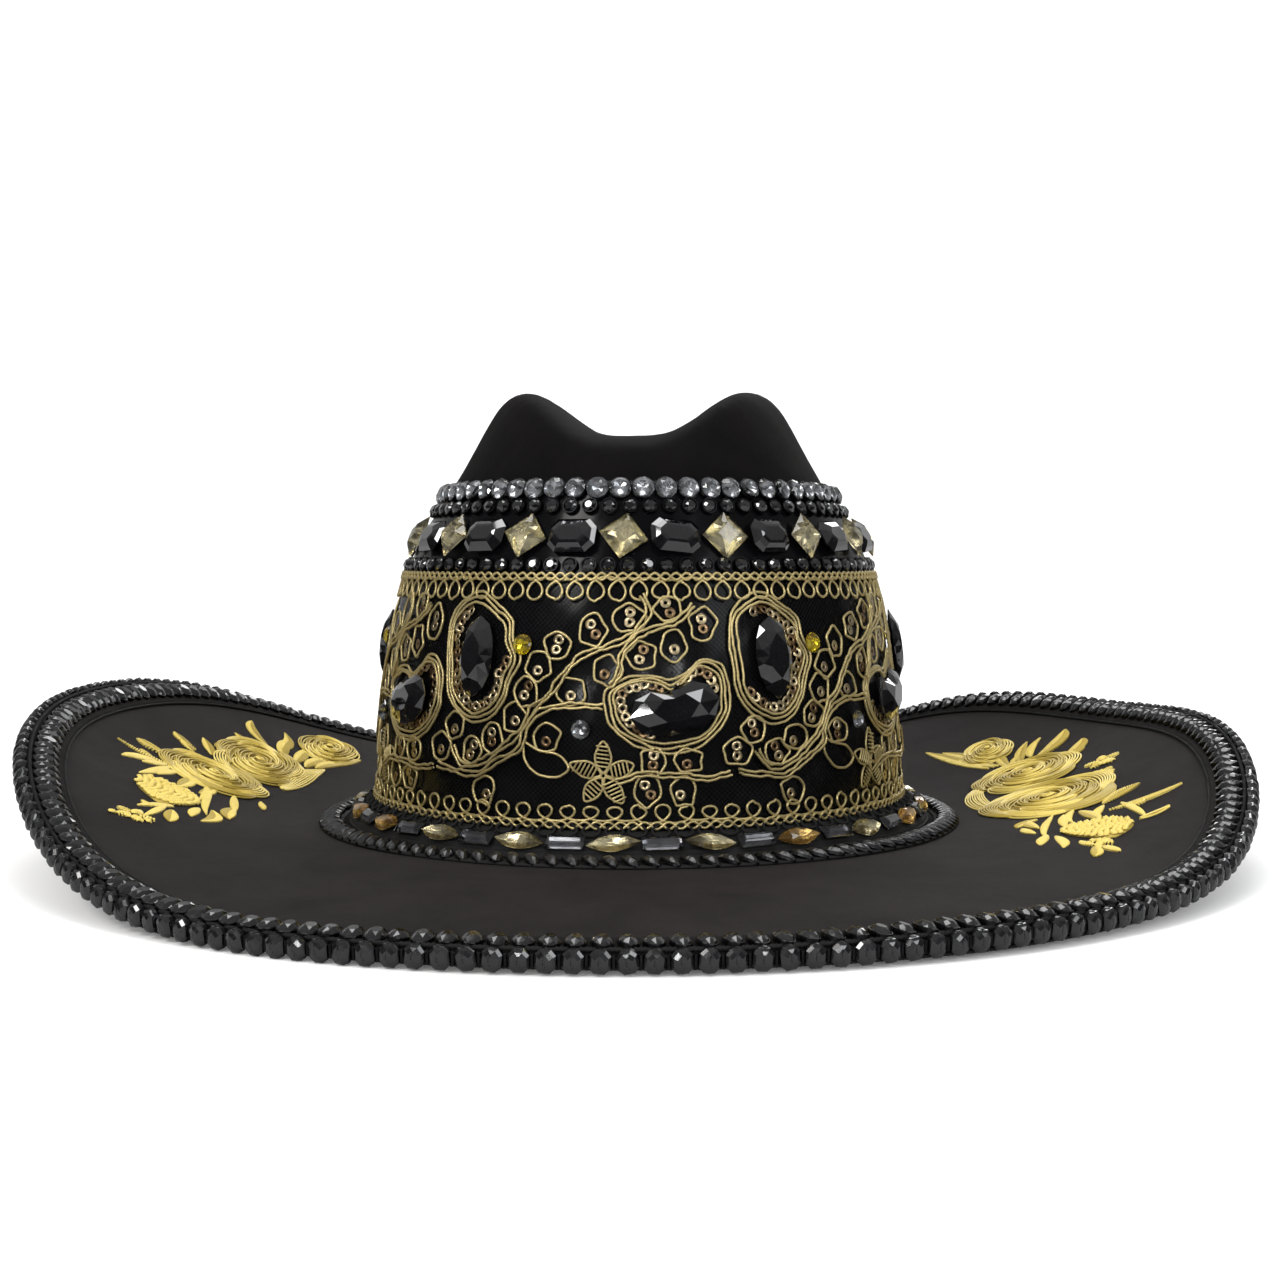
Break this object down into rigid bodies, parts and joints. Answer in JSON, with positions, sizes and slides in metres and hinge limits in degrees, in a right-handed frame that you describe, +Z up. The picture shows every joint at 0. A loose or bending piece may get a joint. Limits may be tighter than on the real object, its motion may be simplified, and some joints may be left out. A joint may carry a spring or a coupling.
{
  "type": "sombrero",
  "caption": "Wide-brimmed western felt hat with creased crown, jewelled lace crown band, jewelled brim edge and gold brim embroidery.",
  "frame": {"origin": "on the resting plane, under the middle of the crown", "axes": "+Z up, the front of the hat faces -Y, +X is the wearer's left"},
  "size_m": [0.4004, 0.453, 0.1519],
  "materials": {
    "felt": "matte black wool felt with a short brown-black nap",
    "suede": "warm black suede cloth with a soft sheen",
    "satin": "black satin",
    "leather": "smooth black leather, semi-matte",
    "reed": "matte extruded plastic",
    "ribbon": "black grosgrain ribbon",
    "board": "stiffened fibre board",
    "wire": "spring steel wire",
    "black_crystal": "polished black crystal, opaque",
    "clear_crystal": "clear foil-backed crystal",
    "champagne_crystal": "champagne foil-backed crystal",
    "yellow_crystal": "yellow foil-backed crystal",
    "patent": "glossy black patent",
    "tulle": "fine black net",
    "gold_cord": "twisted pale gold cord",
    "gold_sequin": "pressed pale gold sequin",
    "gold_thread": "lemon gold satin-stitch thread",
    "black_braid": "black thread braid"
  },
  "bodies": {
    "root": {"crown_shell": "felt", "lining_side": "satin", "lining_tip": "satin", "sweatband": "leather", "sweatband_reed": "reed", "sweatband_bow": "ribbon", "brim_core": "board", "brim_top_cover": "suede", "brim_under_cover": "suede", "brim_edge_binding": "suede", "brim_edge_wire": "wire", "edge_bead_row_upper": "black_crystal", "edge_bead_row_outer": "black_crystal", "band_backing": "patent", "lace_ground": "tulle", "clear_rhinestone_row": "clear_crystal", "black_bead_row_upper": "black_crystal", "black_bead_row_middle": "black_crystal", "champagne_square_jewels": "champagne_crystal", "black_octagon_jewels": "black_crystal", "cabochon_frames": "gold_cord", "gold_branch_cords": "gold_cord", "gold_leaf_loops": "gold_cord", "gold_sequins": "gold_sequin", "gold_star_flowers": "gold_cord", "black_oval_stones": "black_crystal", "black_kidney_stones": "black_crystal", "yellow_rhinestones": "yellow_crystal", "clear_lace_rhinestones": "clear_crystal", "gold_loop_braid_upper": "gold_cord", "gold_loop_braid_lower": "gold_cord", "base_trim_gimp": "black_braid", "base_trim_tape": "black_braid", "base_navette_jewels": "champagne_crystal", "base_baguette_jewels": "clear_crystal", "black_loop_braid": "black_braid", "base_bead_row": "black_crystal", "brim_embroidery_left": "gold_thread", "brim_embroidery_right": "gold_thread"}
  },
  "joints": []
}
